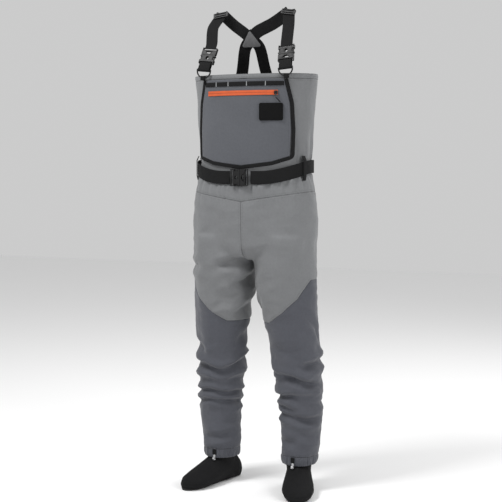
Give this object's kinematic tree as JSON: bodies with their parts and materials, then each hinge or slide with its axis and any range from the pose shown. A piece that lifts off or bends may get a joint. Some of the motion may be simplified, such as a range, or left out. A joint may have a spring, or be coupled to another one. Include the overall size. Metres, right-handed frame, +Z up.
{
  "type": "chest waders",
  "caption": "Stocking-foot chest waders standing in the worn shape: bib with zipped pocket, crossed shoulder straps with side-release buckles, wading belt, two legs with booties.",
  "frame": {"origin": "on the ground, under the middle of the box that holds the garment", "axes": "+Z up, the front faces -Y, the wearer's left is +X"},
  "size_m": [0.438, 0.2486, 1.4937],
  "materials": {
    "light_cloth": "matt light grey laminated nylon",
    "dark_cloth": "matt dark grey reinforced nylon",
    "pocket_cloth": "matt blue-grey nylon",
    "black_webbing": "woven black webbing",
    "black_plastic": "moulded black acetal",
    "orange_zip": "coated orange water-resistant zip",
    "grey_plate": "moulded grey plastic",
    "neoprene": "black neoprene with a knitted face",
    "soft_rubber": "rubber-covered puller",
    "steel": "plated steel"
  },
  "bodies": {
    "waders": {"hem_band": "light_cloth", "bib_front": "light_cloth", "bib_back": "light_cloth", "left_upper_leg": "light_cloth", "left_lower_leg": "dark_cloth", "left_leg_cuff": "dark_cloth", "right_upper_leg": "light_cloth", "right_lower_leg": "dark_cloth", "right_leg_cuff": "dark_cloth", "left_bootie": "neoprene", "left_bootie_sole": "neoprene", "left_hook_tab": "black_webbing", "right_bootie": "neoprene", "right_bootie_sole": "neoprene", "right_hook_tab": "black_webbing", "chest_pocket": "pocket_cloth", "pocket_trim_left": "black_webbing", "pocket_trim_right": "black_webbing", "pocket_trim_bottom": "black_webbing", "daisy_chain": "black_webbing", "hook_loop_patch": "black_webbing", "zip_tape": "orange_zip", "left_d_ring": "black_plastic", "left_ring_tab": "black_webbing", "left_lower_webbing": "black_webbing", "left_buckle_female": "black_plastic", "left_buckle_male": "black_plastic", "left_front_strap": "black_webbing", "left_strap_adjuster": "black_plastic", "right_d_ring": "black_plastic", "right_ring_tab": "black_webbing", "right_lower_webbing": "black_webbing", "right_buckle_female": "black_plastic", "right_buckle_male": "black_plastic", "right_front_strap": "black_webbing", "right_strap_adjuster": "black_plastic", "left_back_strap": "black_webbing", "right_back_strap": "black_webbing", "left_anchor_patch": "dark_cloth", "right_anchor_patch": "dark_cloth", "cross_plate": "grey_plate", "cross_backing": "black_plastic", "belt_buckle_female": "black_plastic", "belt_buckle_male": "black_plastic", "belt": "black_webbing", "left_belt_loop": "black_webbing", "right_belt_loop": "black_webbing", "rear_belt_loop": "black_webbing"},
    "left_buckle_arm_a": {"left_buckle_arm_a": "black_plastic"},
    "left_buckle_arm_b": {"left_buckle_arm_b": "black_plastic"},
    "right_buckle_arm_a": {"right_buckle_arm_a": "black_plastic"},
    "right_buckle_arm_b": {"right_buckle_arm_b": "black_plastic"},
    "belt_buckle_arm_a": {"belt_buckle_arm_a": "black_plastic"},
    "belt_buckle_arm_b": {"belt_buckle_arm_b": "black_plastic"},
    "zip_slider": {"zip_slider": "black_plastic"},
    "zip_pull": {"zip_pull_tab": "steel", "zip_puller": "soft_rubber"},
    "left_hook": {"left_lace_hook": "steel"},
    "right_hook": {"right_lace_hook": "steel"}
  },
  "joints": [
    {"name": "left_buckle_arm_a_press", "type": "hinge", "parent": "waders", "child": "left_buckle_arm_a", "pos_m": [0.11265, -0.06178, 1.34298], "axis": [0, 0.8951, -0.4459], "range_deg": [0, 6], "stiffness_Nm_per_rad": 0.3},
    {"name": "left_buckle_arm_b_press", "type": "hinge", "parent": "waders", "child": "left_buckle_arm_b", "pos_m": [0.14347, -0.06028, 1.34599], "axis": [0, -0.8951, 0.4459], "range_deg": [0, 6], "stiffness_Nm_per_rad": 0.3},
    {"name": "right_buckle_arm_a_press", "type": "hinge", "parent": "waders", "child": "right_buckle_arm_a", "pos_m": [-0.11205, -0.05934, 1.34787], "axis": [0, 0.8951, -0.4459], "range_deg": [0, 6], "stiffness_Nm_per_rad": 0.3},
    {"name": "right_buckle_arm_b_press", "type": "hinge", "parent": "waders", "child": "right_buckle_arm_b", "pos_m": [-0.14287, -0.05784, 1.35089], "axis": [0, -0.8951, 0.4459], "range_deg": [0, 6], "stiffness_Nm_per_rad": 0.3},
    {"name": "belt_buckle_arm_a_press", "type": "hinge", "parent": "waders", "child": "belt_buckle_arm_a", "pos_m": [0.002, -0.11643, 0.9625], "axis": [0, 1, 0], "range_deg": [0, 6], "stiffness_Nm_per_rad": 0.3},
    {"name": "belt_buckle_arm_b_press", "type": "hinge", "parent": "waders", "child": "belt_buckle_arm_b", "pos_m": [0.002, -0.11643, 0.9935], "axis": [0, -1, 0], "range_deg": [0, 6], "stiffness_Nm_per_rad": 0.3},
    {"name": "zip_slide", "type": "hinge", "parent": "waders", "child": "zip_slider", "pos_m": [0, 0.31213, 1.231], "axis": [0, 0, 1], "range_deg": [-30, 0]},
    {"name": "zip_pull_swing", "type": "hinge", "parent": "zip_slider", "child": "zip_pull", "pos_m": [0.10628, -0.0905, 1.227], "axis": [-0.9669, -0.2552, 0], "range_deg": [0, 150]},
    {"name": "left_hook_swing", "type": "hinge", "parent": "waders", "child": "left_hook", "pos_m": [0.13352, -0.01293, 0.0934], "axis": [-1, 0, 0], "range_deg": [0, 70]},
    {"name": "right_hook_swing", "type": "hinge", "parent": "waders", "child": "right_hook", "pos_m": [-0.13352, -0.01293, 0.0934], "axis": [-1, 0, 0], "range_deg": [0, 70]}
  ],
  "couplings": [
    {"joint": "left_buckle_arm_b_press", "follows": "left_buckle_arm_a_press", "ratio": 1},
    {"joint": "right_buckle_arm_b_press", "follows": "right_buckle_arm_a_press", "ratio": 1},
    {"joint": "belt_buckle_arm_b_press", "follows": "belt_buckle_arm_a_press", "ratio": 1}
  ]
}
